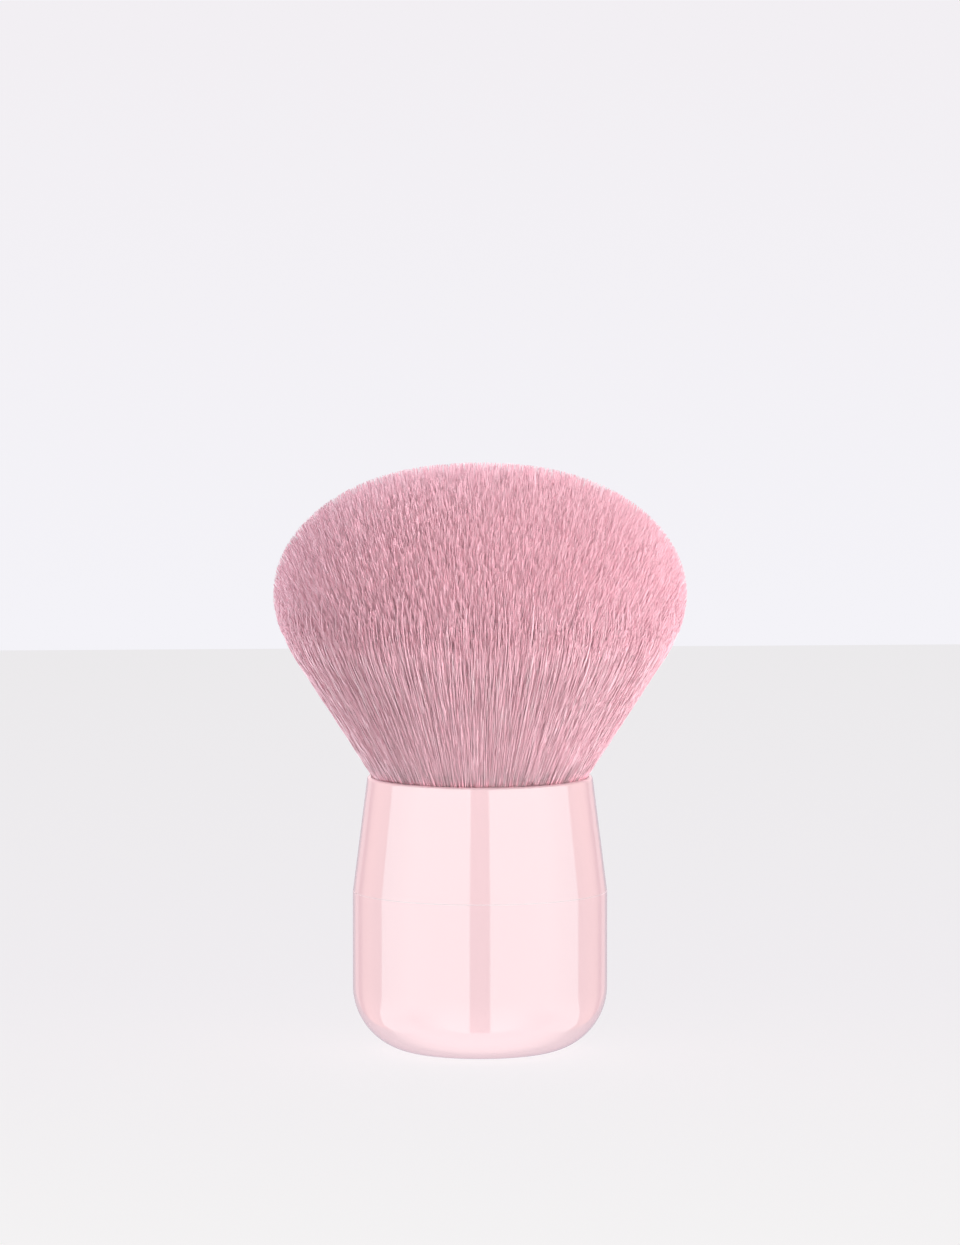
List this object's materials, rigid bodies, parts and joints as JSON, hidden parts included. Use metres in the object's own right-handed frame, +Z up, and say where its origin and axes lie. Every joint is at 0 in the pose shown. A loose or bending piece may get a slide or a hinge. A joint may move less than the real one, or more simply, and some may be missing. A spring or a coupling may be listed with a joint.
{
  "type": "nail dust brush",
  "caption": "Short free-standing brush: a dense domed tuft of pink bristles flaring out of a glossy pink two-shell handle with a rounded, flat-footed base.",
  "frame": {"origin": "centre of the flat foot", "axes": "+Z up along the brush's own axis, from the foot to the top of the bristles; the brush is round about it, so +X and +Y are free"},
  "size_m": [0.0586, 0.0586, 0.0834],
  "materials": {
    "cup_plastic": "pale pink ABS, moulded to a mirror gloss",
    "collar_plastic": "pale pink ABS, moulded to a mirror gloss",
    "bristles": "dusty pink crimped nylon filament, soft sheen",
    "ferrule_metal": "drawn, bare",
    "thread": "waxed cotton",
    "resin": "cast epoxy, slightly amber",
    "joint_cement": "dried plastic cement",
    "weight_steel": "zinc plated, turned",
    "bed_adhesive": "hot melt, white"
  },
  "bodies": {
    "root": {"base_cup": "cup_plastic", "collar": "collar_plastic", "bristle_tuft": "bristles", "ferrule_cup": "ferrule_metal", "binding_thread": "thread", "resin_plug": "resin", "joint_adhesive": "joint_cement", "weight_disc": "weight_steel", "weight_adhesive": "bed_adhesive"}
  },
  "joints": []
}
